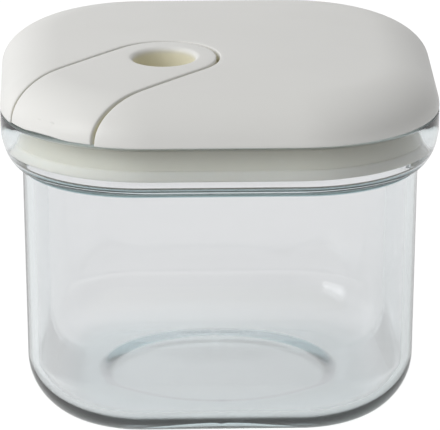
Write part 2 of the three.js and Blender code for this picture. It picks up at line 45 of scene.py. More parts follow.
QUARTER = math.pi / 2

# Jar, in millimetres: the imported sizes, apart from those with a remark
COLLAR_HALF = 65.0
COLLAR_CORNER = 43.2
COLLAR_WALL = 3.4
COLLAR_SIDE = 4.5
RIM_Z = 94.2
RIM_ROUND = 0.8
SHOULDER_STEP = 6.4
SHOULDER_ROUND = 11.25
SHOULDER_FILLET = 0.7  # drawn here alone
BODY_CORNER = 34.0
BODY_WALL = 3.0
BODY_TAPER = 1.3
BASE_ROUND = 18.7
FLOOR_Z = 5.0
FLOOR_ROUND = 14.0  # 1 mm less than packed
DISH_HALF = 33.6
DISH_DEPTH = 0.25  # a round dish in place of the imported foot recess
RECESS_R = 37.5  # the floor's recess is drawn here alone
RECESS_RUN = 6.0
RECESS_DEPTH = 0.9
LEDGE_DEPTH = 13.6  # 2.1 mm more than packed
LEDGE_ROUND = 2.6
LEDGE_EDGE = 0.8

# Lid
SEAM = 0.5
ROLL_RUN = 19.2
ROLL_RISE = 12.4
CROWN = 1.5
COVER_SKIN = 2.2
FLANGE = 1.6
SKIRT_IN = 5.7
SKIRT_OUT = 4.0
SKIRT_Z = 93.2
SKIRT_LAP = 0.2  # how far the skirt runs into the cover
LID_EDGE = 0.5  # round along the lid's lower edge
EDGE_DROP = 0.42  # how far that edge is drawn into the seam
DRAW_IN_FROM = 35.0  # reach at which the dome's underside starts to draw in
GROOVE_EDGE = 0.45  # round along the groove between lid and lever

# Lever, its well and its hinge
LEVER_TURN = math.radians(225)
LEVER_RANGE = math.radians(75)
LEVER_HALF = 16.2
LEVER_END = 24.2
LEVER_SKIN = 2.3
LEVER_SIDE = 1.6
LEVER_UNDER = 97.844
WELL_HALF = 17.3
WELL_WALL = 1.6
WELL_Z = 96.844
WELL_FLOOR = 2.0
HOLE_AT = 23.2
HOLE_R = 9.2
HOLE_LIP = 1.6
HOLE_WALL = 1.6
HOLE_END_Z = 100.6
HEEL_R = 3.8
HEEL_FACE = 1.75
HEEL_CLEAR = 0.3
HEEL_BACK = 2.0
HEEL_LOW_Z = 94.5
PIN_BORE = 0.65  # packed as 0.75 in the lever
EAR_R = 1.05
EAR_IN = 4.0
EAR_OUT = 5.3
EAR_NECK = 0.95
EAR_FOOT = 3.4
SLOT_R = 1.35
SLOT_HALF = 5.6
BORE_PAST_SLOT = 2.0
NOTCH_HALF = 3.7
SIDE_GAP = 0.3
CRANK = 2.5
ARM_IN = 2.1
ARM_OUT = 3.4
ARM_R = 1.7
ARM_ROOT = 1.0
ARM_BITE = 0.1
DRIVE_BORE = 1.1
HOOK_REACH = 6.8

# Seal
SEAL_OUT = 4.4
SEAL_IN = 5.7
SEAL_LIP_IN = 8.2
SEAL_TOP = 92.9
SEAL_Z = 83.7
SEAL_BEAD = 0.35  # half of what is packed
SEAL_LIP = 1.6
SEAL_EDGE = 0.3
UPPER_LIP_Z = 87.5
WEDGE_Z = 88.3
WEDGE_RISE = 1.8

# Base and screws
BASE_EDGE = 6.0
BASE_Z = 85.6
BASE_TOP = 87.2
BASE_ROUND_EDGE = 0.5
BOSS_R = 4.0
BOSS_TOP = 91.0
SCREW_AT = 40.0
SCREW_SEAT = 88.0
SCREW_FIT = 0.35
SCREW_R = 1.25
SCREW_TIP_R = 0.5
SCREW_LENGTH = 9.0
SCREW_HEAD = 1.7
SCREW_HEAD_R = 2.6
SCREW_HEAD_ROUND = 0.9
THREAD_INSET = 1.0  # plain shank at both ends of the thread
THREAD_PITCH = 0.35
THREAD_DEPTH = 0.2
CROSS_HALF = 1.5  # packed as 1.55
CROSS_SLOT_HALF = 0.35  # packed as 0.4
CROSS_DEPTH = 0.9

# Studio, in metres
FLOOR_SIDE = 4.0
FLOOR_BACK = 6.0
FLOOR_DROP = 0.3 * MM  # keeps the floor clear of the jar's foot
FLOOR_GLOW = 1.15
FLOOR_SEEN = 0.85  # shares of the glow that each kind of ray meets
FLOOR_MIRRORED = 0.3
FLOOR_THROUGH = 0.15
PAPER = (0.88, 0.88, 0.88)
WHITE = (1.0, 1.0, 1.0)
LAMP_AT = (-1.3, -0.8, 1.0)
LAMP_AIM = (0, 0, 0.08)
LAMP_WIDTH = 1.0
LAMP_HEIGHT = 1.2
LAMP_POWER = 10.0
CAMERA_AT = (-0.0424, -1.4263, 0.5124)
CAMERA_TILT = math.radians(72.17)
CAMERA_PAN = math.radians(-1.73)
CAMERA_SENSOR = 36.0  # millimetres, as the lens is
CAMERA_LENS = 405.0
CAMERA_NEAR = 0.05
CAMERA_FAR = 30.0

# Fineness
JAR_SHARP = 60  # degrees from which an edge is shaded sharp
SCREW_SHARP = 30
PIECE_SHARP = 35
CORNER_STEPS = 28
STRAIGHT_SHARES = (0.03, 0.35, 0.65, 0.97)
ROUND_STEPS = 6
LONG_ROUND_STEPS = 20
EDGE_STEPS = 4
SMALL_EDGE_STEPS = 3
HOLE_LIP_STEPS = 7
HEAD_ROUND_POINTS = 8
SIDE_ROWS = 4
ROD_SIDES = 32
HOLE_SIDES = 96
ROLL_POINTS = 400
SIDE_POINTS = 300
END_POINTS = 200
RIM_POINTS = 500
HALVINGS = 60
MOST_SHARE = 0.4  # upper end of the search for the crown's edge
FILL_PITCH = 1.5
PATH_PITCH = 0.9
RIM_GAP = 0.4  # from a groove's edge to the next point on the lid's rim
GROOVE_GAP = 0.5 * FILL_PITCH
HOLE_GAP = 0.4 * FILL_PITCH
FIELD_GAP = 0.7 * FILL_PITCH
MERGE = 1e-5
TINY = 1e-9
CLOSE = 0.01
FAR = 200.0  # past the whole object
OVERCUT = 1.0  # how far a cut runs past a face
HOLLOW_DROP = 3.0  # how far the cover's hollow runs below it
HOLLOW_LIFT = 0.1  # from the lid's edge up to where the lever's hollow curves

# Worked-out places
COVER_Z = RIM_Z + SEAM
SHOULDER_Z = RIM_Z - COLLAR_SIDE - SHOULDER_ROUND
BODY_HALF = COLLAR_HALF - SHOULDER_STEP
BASE_HALF = BODY_HALF - BODY_TAPER
LEDGE_Z = RIM_Z - LEDGE_DEPTH
CORE = COLLAR_HALF - COLLAR_CORNER
CORNER_REACH = CORE * math.sqrt(2) + COLLAR_CORNER
LEVER_COS = math.cos(LEVER_TURN)
LEVER_SIN = math.sin(LEVER_TURN)
HINGE_Z = HEEL_LOW_Z + HEEL_R
HINGE_INSET = ROLL_RUN * (1 - math.sqrt(1 - ((HINGE_Z - COVER_Z) / ROLL_RISE) ** 2))
HINGE_X = CORNER_REACH - HINGE_INSET - HEEL_FACE
WELL_BACK = HINGE_X - HEEL_R - HEEL_CLEAR
DRIVE_X = -CRANK * math.cos(LEVER_RANGE / 2)
DRIVE_Z = -CRANK * math.sin(LEVER_RANGE / 2)
EDGE_Z = COVER_Z + LID_EDGE
EDGE_RISE = ROLL_RISE - LID_EDGE
BEAD_TOP = SEAL_Z + 2 * SEAL_LIP


# Rounded-square bodies

def outline(half, corner, z):
    """Points of a rounded square, counter-clockwise."""
    points = []
    core = half - corner
    straight = 2 * core
    for side in range(4):
        turn = side * QUARTER
        centre_x = core * math.sqrt(2) * math.cos(turn + QUARTER / 2)
        centre_y = core * math.sqrt(2) * math.sin(turn + QUARTER / 2)
        for step in range(CORNER_STEPS + 1):
            angle = turn + step / CORNER_STEPS * QUARTER
            points.append((centre_x + corner * math.cos(angle), centre_y + corner * math.sin(angle), z))
        last = points[-1]
        for share in STRAIGHT_SHARES:
            points.append((
                last[0] - straight * share * math.sin(turn + QUARTER),
                last[1] + straight * share * math.cos(turn + QUARTER),
                z,
            ))
    return points


LOOP = len(outline(2, 1, 0))


def collar_level(inset, z):
    """A level of the collar's outline, drawn in by an inset."""
    return (COLLAR_HALF - inset, COLLAR_CORNER - inset, z)


def band_faces(rows, closed):
    """Faces between rows of outline points, and from the last row to the first where closed."""
    faces = []
    for row in range(rows if closed else rows - 1):
        low, high = row * LOOP, (row + 1) % rows * LOOP
        for place in range(LOOP):
            following = (place + 1) % LOOP
            faces.append((low + place, low + following, high + following, high + place))
    return faces


def stack(levels, top_z=None):
    """A body through levels, closed at both ends, as points and faces."""
    points = [point for level in levels for point in outline(*level)]
    faces = band_faces(len(levels), False)
    total = len(points)
    points.append((0, 0, levels[0][2]))
    points.append((0, 0, levels[-1][2] if top_z is None else top_z))
    for place in range(LOOP):
        following = (place + 1) % LOOP
        faces.append((total, following, place))
        faces.append((total + 1, total - LOOP + place, total - LOOP + following))
    return points, faces


def ring(section):
    """A ring whose section of (inset, z) points follows the collar's outline."""
    points = [point for inset, z in section for point in outline(*collar_level(inset, z))]
    return points, band_faces(len(section), True)


def ellipse(centre, radius_x, radius_z, start, end, steps):
    """Points (inset, z) on an ellipse from one angle to another, in degrees."""
    points = []
    for step in range(steps + 1):
        angle = math.radians(start + (end - start) * step / steps)
        points.append((centre[0] + radius_x * math.cos(angle), centre[1] + radius_z * math.sin(angle)))
    return points


def arc(x, z, radius, start, end, steps=ROUND_STEPS):
    return ellipse((x, z), radius, radius, start, end, steps)


# Meshes and cuts

def add_object(name, data):
    """A new object in the scene."""
    made = bpy.data.objects.new(name, data)
    bpy.context.scene.collection.objects.link(made)
    return made


def mesh_object(name, points, faces):
    """An object from points in millimetres, with its faces turned outwards."""
    mesh = bpy.data.meshes.new(name)
    mesh.from_pydata([(x * MM, y * MM, z * MM) for x, y, z in points], [], faces)
    mesh.update()
    work = bmesh.new()
    work.from_mesh(mesh)
    bmesh.ops.recalc_face_normals(work, faces=work.faces)
    work.to_mesh(mesh)
    work.free()
    return add_object(name, mesh)


def combine(target, tool, operation):
    """Cuts, joins or trims target with tool, which is used up."""
    change = target.modifiers.new("combine", "BOOLEAN")
    change.operation = operation
    change.solver = "MANIFOLD"
    change.object = tool
    done = target.evaluated_get(bpy.context.evaluated_depsgraph_get())
    mesh = bpy.data.meshes.new_from_object(done)
    target.modifiers.clear()
    old = target.data
    target.data = mesh
    bpy.data.meshes.remove(old)
    spent = tool.data
    bpy.data.objects.remove(tool)
    bpy.data.meshes.remove(spent)
    return target


def cut(target, shape):
    """Takes a shape, given as points and faces, out of target."""
    return combine(target, mesh_object("tool", *shape), "DIFFERENCE")


def join(target, shape):
    """Adds a shape, given as points and faces, to target."""
    return combine(target, mesh_object("tool", *shape), "UNION")


def box(low, high):
    """A box between two corners, as points and faces."""
    points = [(x, y, z) for x in (low[0], high[0]) for y in (low[1], high[1]) for z in (low[2], high[2])]
    faces = [(0, 1, 3, 2), (4, 6, 7, 5), (0, 4, 5, 1), (2, 3, 7, 6), (0, 2, 6, 4), (1, 5, 7, 3)]
    return points, faces


def prism(corners, low_z, high_z):
    """An upright prism over counter-clockwise plan corners."""
    count = len(corners)
    points = [(x, y, low_z) for x, y in corners] + [(x, y, high_z) for x, y in corners]
    faces = [tuple(reversed(range(count))), tuple(range(count, 2 * count))]
    for place in range(count):
        following = (place + 1) % count
        faces.append((place, following, count + following, count + place))
    return points, faces


def circle(x, y, radius, sides=ROD_SIDES):
    turns = [2 * math.pi * side / sides for side in range(sides)]
    return [(x + radius * math.cos(turn), y + radius * math.sin(turn)) for turn in turns]


def rod(x, y, radius, low_z, high_z, sides=ROD_SIDES):
    return prism(circle(x, y, radius, sides), low_z, high_z)


def to_lid(along, across, z):
    """From the lever's frame, whose first axis runs from the lid's middle to its corner, to the lid's."""
    return (along * LEVER_COS - across * LEVER_SIN, along * LEVER_SIN + across * LEVER_COS, z)


def hinge_to_lid(x, y, z):
    """From a frame on the hinge, turned as the lever's, to the lid's."""
    return to_lid(x + HINGE_X, y, z + HINGE_Z)


def cross_plate(corners, low_y, high_y):
    """A plate in the hinge's XZ plane, placed in the lid's frame."""
    points, faces = prism(corners, low_y, high_y)
    return [hinge_to_lid(x, y, z) for x, z, y in points], faces


def cross_rod(x, z, radius, low_y, high_y):
    return cross_plate(circle(x, z, radius), low_y, high_y)


def hinge_box(low, high):
    """A box in the hinge's frame, placed in the lid's frame."""
    points, faces = box(low, high)
    return [hinge_to_lid(*point) for point in points], faces


def strip_corners(half, far):
    """Plan of the lever's strip in the lid's frame: round end near the middle, square end at far."""
    corners = [(far, -half), (far, half)]
    for step in range(ROD_SIDES + 1):
        angle = QUARTER + math.pi * step / ROD_SIDES
        corners.append((LEVER_END + half * math.cos(angle), half * math.sin(angle)))
    return [to_lid(along, across, 0)[:2] for along, across in corners]


# The dome: a rolled edge of elliptical section, then a shallow crown that leaves it smoothly

def last_passing(test, low, high):
    """The highest value between low and high that passes a test, which low values pass, by halving."""
    for _ in range(HALVINGS):
        middle = (low + high) / 2
        if test(middle):
            low = middle
        else:
            high = middle
    return low


def crown_match(share):
    """Height where the roll hands over to a crown of the same slope, and that crown's own rise."""
    steep = math.sqrt(1 - share * share)
    slope = EDGE_RISE / ROLL_RUN * share / steep
    rise = slope * (COLLAR_HALF - ROLL_RUN * (1 - share)) / 2
    return EDGE_RISE * steep, rise


CROWN_SHARE = last_passing(lambda share: sum(crown_match(share)) < EDGE_RISE + CROWN, 0.0, MOST_SHARE)
ROLL_IN = ROLL_RUN * (1 - CROWN_SHARE)
CROWN_BASE, CROWN_RISE = crown_match(CROWN_SHARE)
CROWN_HALF = COLLAR_HALF - ROLL_IN
CROWN_CORNER = COLLAR_CORNER - ROLL_IN
ROLL_ANGLES = np.linspace(0, math.acos(CROWN_SHARE), ROLL_POINTS)
ROLL_INSETS = ROLL_RUN * (1 - np.cos(ROLL_ANGLES))
ROLL_STEPS = np.hypot(np.diff(ROLL_INSETS), np.diff(EDGE_RISE * np.sin(ROLL_ANGLES)))
ROLL_LENGTHS = np.concatenate(([0], np.cumsum(ROLL_STEPS)))
ROLL_LENGTH = ROLL_LENGTHS[-1]


def spoke(plan):
    """Core point, outward direction and reach of plan points, so that inset is corner less reach."""
    core = np.clip(plan, -CORE, CORE)
    out = plan - core
    reach = np.hypot(out[:, 0], out[:, 1])
    return core, out / np.maximum(reach, TINY)[:, None], reach


def roll_share(reach):
    """Place across the roll: 1 at the lid's edge, 0 where its ellipse would be level."""
    return np.clip(1 - (COLLAR_CORNER - reach) / ROLL_RUN, 0, 1)


def flatten(plan):
    """Plan points pushed out so that distances across the roll are true."""
    core, way, reach = spoke(plan)
    inset = COLLAR_CORNER - reach
    length = np.interp(inset, ROLL_INSETS, ROLL_LENGTHS)
    spread = np.where(inset < ROLL_IN, CROWN_CORNER + ROLL_LENGTH - length, reach)
    return core + way * spread[:, None]


def unflatten(flat):
    """Plan points that flatten would push out to these."""
    core, way, spread = spoke(flat)
    length = CROWN_CORNER + ROLL_LENGTH - spread
    inset = np.interp(length, ROLL_LENGTHS, ROLL_INSETS)
    reach = np.where(spread > CROWN_CORNER, COLLAR_CORNER - inset, spread)
    return core + way * reach[:, None]


def crown_gauge(plan):
    """Size of the crown's outline through each point, 1 where the roll begins."""
    x, y = np.abs(plan[:, 0]), np.abs(plan[:, 1])
    square = np.maximum(x * x + y * y, TINY)
    both = CORE * (x + y)
    inner = both * both - square * (2 * CORE * CORE - CROWN_CORNER * CROWN_CORNER)
    corner = square / np.maximum(both + np.sqrt(np.maximum(inner, 0)), TINY)
    longer, shorter = np.maximum(x, y), np.minimum(x, y)
    flat_side = shorter * CROWN_HALF <= CORE * longer
    return np.where(flat_side, longer / CROWN_HALF, corner)


def dome_z(plan):
    """Height of the dome over plan points."""
    _, _, reach = spoke(plan)
    share = roll_share(reach)
    roll = EDGE_Z + EDGE_RISE * np.sqrt(1 - share * share)
    crown = EDGE_Z + CROWN_BASE + CROWN_RISE * (1 - crown_gauge(plan) ** 2)
    return np.where(share > CROWN_SHARE, roll, crown)


def dome_normal(plan):
    """Outward unit normals of the dome over plan points."""
    _, way, reach = spoke(plan)
    share = roll_share(reach)
    level, up = share / ROLL_RUN, np.sqrt(1 - share * share) / EDGE_RISE
    roll = np.column_stack((way * level[:, None], up))
    slope_x, slope_y = (dome_z(plan + step) - dome_z(plan - step) for step in CLOSE * np.eye(2))
    crown = np.column_stack((-slope_x, -slope_y, np.full(len(plan), 2 * CLOSE)))
    normal = np.where((share > CROWN_SHARE)[:, None], roll, crown)
    return normal / np.linalg.norm(normal, axis=1)[:, None]


def lever_frame(plan):
    """Plan points along and across the lever."""
    x, y = plan[:, 0], plan[:, 1]
    return np.column_stack((x * LEVER_COS + y * LEVER_SIN, y * LEVER_COS - x * LEVER_SIN))


def from_lever(points):
    """Plan points in the lid's frame, from places along and across the lever."""
    return np.column_stack(to_lid(points[:, 0], points[:, 1], 0)[:2])


def strip_gap(plan, half):
    """Signed distance outside the lever's strip."""
    local = lever_frame(plan)
    straight = np.abs(local[:, 1]) - half
    end = np.hypot(local[:, 0] - LEVER_END, local[:, 1]) - half
    return np.where(local[:, 0] >= LEVER_END, straight, end)


def hole_gap(plan):
    """Signed distance outside the finger hole."""
    local = lever_frame(plan)
    return np.hypot(local[:, 0] - HOLE_AT, local[:, 1]) - HOLE_R


def rounding(gap, radius):
    """How far a rounded edge lies under its surface at a distance from the edge's wall."""
    over = np.clip(1 - gap / radius, 0, 1)
    return radius * (1 - np.sqrt(1 - over * over))


def strip_path(half):
    """Plan points along the strip's side, round its end and back, closer together at the lid's edge."""
    far = CORE * math.sqrt(2) + math.sqrt(COLLAR_CORNER ** 2 - half ** 2)
    out = LEVER_END + (far - LEVER_END) * np.sin(np.linspace(0, QUARTER, SIDE_POINTS))
    turn = np.linspace(QUARTER, 3 * QUARTER, END_POINTS)
    side = np.column_stack((out[::-1], np.full(SIDE_POINTS, half)))
    end = np.column_stack((LEVER_END + half * np.cos(turn), half * np.sin(turn)))
    back = np.column_stack((out, np.full(SIDE_POINTS, -half)))
    return from_lever(np.vstack((side, end[1:-1], back)))


def even_places(path):
    """Places on a path, counted in its points, that are evenly spaced on the dome."""
    solid = np.column_stack((path, dome_z(path)))
    lengths = np.concatenate(([0], np.cumsum(np.linalg.norm(np.diff(solid, axis=0), axis=1))))
    count = int(lengths[-1] / PATH_PITCH)
    return np.interp(np.linspace(0, lengths[-1], count), lengths, np.arange(len(path)))


def along_path(path, places):
    index = np.arange(len(path))
    return np.column_stack((np.interp(places, index, path[:, 0]), np.interp(places, index, path[:, 1])))


def edge_offsets(radius, steps=EDGE_STEPS):
    """Distances from an edge that sample its rounding evenly."""
    return [radius * (1 - math.cos(QUARTER * step / steps)) for step in range(steps + 1)]


class Plan:
    """Points and fixed edges of a region of the dome, on the flattened plan."""

    def __init__(self):
        self.points = []
        self.edges = []

    def line(self, plan, closed=False):
        start = len(self.points)
        self.points.extend(map(tuple, flatten(plan)))
        count = len(plan)
        self.edges.extend((start + place, start + place + 1) for place in range(count - 1))
        if closed:
            self.edges.append((start + count - 1, start))

    def fill(self, keep):
        """Adds an even field of points where keep accepts them."""
        half = COLLAR_HALF - ROLL_IN + ROLL_LENGTH
        steps = np.arange(-half, half, FILL_PITCH)
        rows = np.arange(-half, half, FILL_PITCH * math.sqrt(3) / 2)
        field = np.array(
            [(x + FILL_PITCH / 2 * (number % 2), y) for number, y in enumerate(rows) for x in steps])
        _, _, spread = spoke(field)
        field = field[spread < CROWN_CORNER + ROLL_LENGTH - FIELD_GAP]
        self.points.extend(map(tuple, field[keep(unflatten(field))]))

    def triangles(self, keep):
        """Plan points and the triangles whose middles keep accepts."""
        points, _, faces, *_ = delaunay_2d_cdt(
            [Vector(point) for point in self.points], self.edges, [], 0, MERGE)
        flat = np.array([tuple(point) for point in points])
        faces = np.array(faces)
        middles = unflatten(flat[faces].mean(axis=1))
        return unflatten(flat), faces[keep(middles)]


def border(faces):
    """Directed edges that only one triangle has."""
    sides = {}
    for a, b, c in faces:
        for start, end in ((a, b), (b, c), (c, a)):
            if (end, start) in sides:
                del sides[(end, start)]
            else:
                sides[(start, end)] = True
    return list(sides)


def dome_block(plan, faces, drop, bottom_z):
    """A closed body: the dome over some triangles, less a drop for each point, and a flat underside."""
    used = np.unique(faces)
    number = np.full(len(plan), -1)
    number[used] = np.arange(len(used))
    plan, faces = plan[used], number[faces]
    count = len(plan)
    core, way, reach = spoke(plan)
    top = np.column_stack((plan, dome_z(plan))) - dome_normal(plan) * drop(plan)[:, None]
    bend = np.clip((reach - DRAW_IN_FROM) / (COLLAR_CORNER - DRAW_IN_FROM), 0, 1) ** 2
    under = core + way * (reach - LID_EDGE * bend)[:, None]
    bottom = np.column_stack((under, np.full(count, bottom_z)))
    at_seam = reach > COLLAR_CORNER - CLOSE

    sides = border(faces)
    edge = sorted({place for pair in sides for place in pair})
    rows = []
    for step in range(1, SIDE_ROWS):
        angle = QUARTER * step / SIDE_ROWS
        curl = core + way * (reach - LID_EDGE * (1 - math.cos(angle)))[:, None]
        curled = np.column_stack((curl, np.full(count, bottom_z + LID_EDGE * (1 - math.sin(angle)))))
        straight = top + (bottom - top) * step / SIDE_ROWS
        rows.append(np.where(at_seam[:, None], curled, straight))
    points = np.vstack([top, bottom] + [row[edge] for row in rows])
    edge_place = {place: index for index, place in enumerate(edge)}

    def row_point(place, row):
        if row == 0:
            return place
        if row == SIDE_ROWS:
            return count + place
        return 2 * count + (row - 1) * len(edge) + edge_place[place]

    shell = [tuple(face) for face in faces]
    shell += [(c + count, b + count, a + count) for a, b, c in faces]
    for start, end in sides:
        for row in range(SIDE_ROWS):
            shell.append((
                row_point(end, row), row_point(start, row),
                row_point(start, row + 1), row_point(end, row + 1),
            ))
    return [tuple(point) for point in points], shell


def rim_point(turn):
    """The plan point on the lid's edge in one direction from its middle."""
    way = np.array([math.cos(turn), math.sin(turn)])

    def inside(distance):
        core = np.clip(way * distance, -CORE, CORE)
        return np.hypot(*(way * distance - core)) < COLLAR_CORNER

    return way * last_passing(inside, 0.0, 2 * COLLAR_HALF)


def rim_points(keep):
    """Plan points along the lid's edge, counter-clockwise from the lever's corner, that keep accepts."""
    turns = np.linspace(0, 2 * math.pi, RIM_POINTS, endpoint=False) + LEVER_TURN
    points = np.array([rim_point(turn) for turn in turns])
    return points[keep(points)]


def add_groove_edge(plan, half, side):
    """Lines for a strip's rounded edge, outside it for side 1 or inside for -1, and for the lid's edge."""
    places = even_places(strip_path(half))
    paths = [along_path(strip_path(half + side * offset), places) for offset in edge_offsets(GROOVE_EDGE)]
    for path in paths:
        plan.line(path)
    edge = rim_points(lambda points: side * strip_gap(points, half) > GROOVE_EDGE + RIM_GAP)
    if side < 0:
        edge = edge[np.argsort(-lever_frame(edge)[:, 1])]
    starts = [path[0] for path in paths]
    ends = [path[-1] for path in reversed(paths)]
    plan.line(np.vstack((starts, edge, ends)))


def cover_skin():
    """The lid's dome outside the lever's well, with the groove's edge rounded."""
    def gap(points):
        return strip_gap(points, WELL_HALF)

    plan = Plan()
    add_groove_edge(plan, WELL_HALF, 1)
    plan.fill(lambda points: gap(points) > GROOVE_EDGE + GROOVE_GAP)
    points, faces = plan.triangles(lambda middles: gap(middles) > 0)
    return dome_block(points, faces, lambda at: rounding(gap(at), GROOVE_EDGE), COVER_Z - EDGE_DROP)


def lever_skin():
    """The dome inside the lever's outline, with its edge and the finger hole's mouth rounded."""
    def depth(points):
        return -strip_gap(points, LEVER_HALF)

    def clear(points):
        return (hole_gap(points) > HOLE_LIP + HOLE_GAP) & (depth(points) > GROOVE_EDGE + GROOVE_GAP)

    def kept(middles):
        return (depth(middles) > 0) & (hole_gap(middles) > 0)

    def drop(at):
        return rounding(depth(at), GROOVE_EDGE) + rounding(hole_gap(at), HOLE_LIP)

    plan = Plan()
    add_groove_edge(plan, LEVER_HALF, -1)
    for offset in edge_offsets(HOLE_LIP, HOLE_LIP_STEPS):
        hole = np.array(circle(HOLE_AT, 0, HOLE_R + offset, HOLE_SIDES))
        plan.line(from_lever(hole), closed=True)
    plan.fill(clear)
    points, faces = plan.triangles(kept)
    return dome_block(points, faces, drop, COVER_Z)


def dome_inside(skin, low_z, first_levels, least_inset=0.0):
    """The filled dome, a skin's thickness under its surface, standing on some first levels."""
    levels = list(first_levels)
    for step in range(LONG_ROUND_STEPS + 1):
        angle = QUARTER * step / LONG_ROUND_STEPS
        inset = skin + (ROLL_RUN - skin) * (1 - math.cos(angle))
        if inset > least_inset:
            levels.append(collar_level(inset, low_z + (ROLL_RISE - skin) * math.sin(angle)))
    return stack(levels, levels[-1][2] + CROWN / 2)


# Pieces of the object

def body_half(z):
    """Half the body's width at a height, outside."""
    return BASE_HALF + BODY_TAPER * z / SHOULDER_Z


def bottom_round(radius, floor_z, wall):
    """Levels of a round from a flat bottom up to the body's sides, a wall's thickness in."""
    levels = []
    for step in range(LONG_ROUND_STEPS + 1):
        angle = QUARTER * step / LONG_ROUND_STEPS
        z = floor_z + radius * (1 - math.cos(angle))
        inset = wall + radius * (1 - math.sin(angle))
        levels.append((body_half(z) - inset, BODY_CORNER - inset, z))
    return levels


def shoulder_level(inset, z, top_inset, top_corner, low_inset, low_corner):
    """A level whose corner goes from one radius to another as its inset does."""
    share = (inset - top_inset) / (low_inset - top_inset)
    return (COLLAR_HALF - inset, top_corner + share * (low_corner - top_corner), z)


def jar_outside():
    """Levels from the middle of the dished underside out to the foot, and up to the collar."""
    levels = []
    for step in range(1, LONG_ROUND_STEPS + 1):
        share = step / LONG_ROUND_STEPS
        half = DISH_HALF * share
        levels.append((half, half, DISH_DEPTH * (1 + math.cos(math.pi * share)) / 2))
    levels += bottom_round(BASE_ROUND, 0, 0)

    ends = (0, COLLAR_CORNER, SHOULDER_STEP, BODY_CORNER)
    fillet = arc(SHOULDER_STEP - SHOULDER_FILLET, SHOULDER_Z - SHOULDER_FILLET, SHOULDER_FILLET, 0, 90)
    levels += [shoulder_level(inset, z, *ends) for inset, z in fillet]
    first = math.degrees(math.acos(SHOULDER_FILLET / SHOULDER_STEP))
    for step in range(1, LONG_ROUND_STEPS + 1):
        angle = math.radians(first * (1 - step / LONG_ROUND_STEPS))
        inset = SHOULDER_STEP * (1 - math.cos(angle))
        z = SHOULDER_Z + SHOULDER_ROUND * (1 - math.sin(angle))
        levels.append(shoulder_level(inset, z, *ends))
    return levels


def jar_inside():
    """Levels from the collar's inside down over the ledge to the floor and its recess."""
    body_inset = SHOULDER_STEP + BODY_WALL
    ends = (COLLAR_WALL, COLLAR_CORNER - COLLAR_WALL, body_inset, BODY_CORNER - BODY_WALL)
    ledge = arc(COLLAR_WALL + LEDGE_ROUND, LEDGE_Z + LEDGE_ROUND, LEDGE_ROUND, 180, 270)
    ledge += arc(body_inset - LEDGE_EDGE, LEDGE_Z - LEDGE_EDGE, LEDGE_EDGE, 90, 0)
    levels = [shoulder_level(inset, z, *ends) for inset, z in ledge]
    levels += reversed(bottom_round(FLOOR_ROUND, FLOOR_Z, BODY_WALL))
    for step in range(2 * ROUND_STEPS + 1):
        share = step / (2 * ROUND_STEPS)
        radius = RECESS_R - RECESS_RUN * share
        drop = RECESS_DEPTH * (1 - math.cos(math.pi * share)) / 2
        levels.append((radius, radius, FLOOR_Z - drop))
    return levels


def make_jar():
    """Clear jar with a collar and a round rim."""
    rim = arc(RIM_ROUND, RIM_Z - RIM_ROUND, RIM_ROUND, 180, 90)
    rim += arc(COLLAR_WALL - RIM_ROUND, RIM_Z - RIM_ROUND, RIM_ROUND, 90, 0)
    rim_levels = [collar_level(inset, z) for inset, z in rim]
    return mesh_object("jar_clear", *stack(jar_outside() + rim_levels + jar_inside()))


def on_side(near, far, side):
    """A range across the lever, on its side 1 or -1."""
    return sorted((side * near, side * far))


def make_ear(side):
    """A lug on the well's floor that holds the hinge pin."""
    low, high = on_side(EAR_IN, EAR_OUT, side)
    root = WELL_BACK - HINGE_X
    under = WELL_Z - WELL_FLOOR / 2 - HINGE_Z
    ear = mesh_object("ear", *cross_rod(0, 0, EAR_R, low, high))
    for part in (
        hinge_box((root - EAR_FOOT, low, under), (root, high, EAR_NECK)),
        hinge_box((root - EAR_FOOT, low, -EAR_NECK), (0, high, EAR_NECK)),
    ):
        join(ear, part)
    return ear


def make_cover():
    """Domed shell with the lever's well, a skirt and the hinge's lugs."""
    cover = mesh_object("lid_dome", *cover_skin())
    mouth = [collar_level(SKIRT_IN, COVER_Z - HOLLOW_DROP), collar_level(SKIRT_IN, COVER_Z + FLANGE)]
    hollow = mesh_object("hollow", *dome_inside(COVER_SKIN, COVER_Z, mouth, SKIRT_IN))
    wall = prism(strip_corners(WELL_HALF + WELL_WALL, FAR), WELL_Z - WELL_FLOOR, FAR)
    cut(hollow, wall)
    combine(cover, hollow, "DIFFERENCE")
    floor = prism(strip_corners(WELL_HALF + WELL_WALL / 2, WELL_BACK), WELL_Z - WELL_FLOOR, WELL_Z)
    join(cover, floor)

    skirt_top = COVER_Z + FLANGE / 2
    skirt_in = SKIRT_IN + SKIRT_LAP
    section = [(SKIRT_OUT, SKIRT_Z), (SKIRT_OUT, skirt_top), (skirt_in, skirt_top), (skirt_in, SKIRT_Z)]
    skirt = mesh_object("skirt", *ring(section))
    open_corner = hinge_box((WELL_BACK - HINGE_X, -WELL_HALF, RIM_Z - HINGE_Z), (FAR, WELL_HALF, FAR))
    cut(skirt, open_corner)
    combine(cover, skirt, "UNION")

    notch = hinge_box((-HOOK_REACH, -NOTCH_HALF, -FAR), (FAR, NOTCH_HALF, FAR))
    cut(cover, notch)
    for side in (1, -1):
        combine(cover, make_ear(side), "UNION")
    return cut(cover, cross_rod(0, 0, PIN_BORE, -SLOT_HALF, SLOT_HALF))


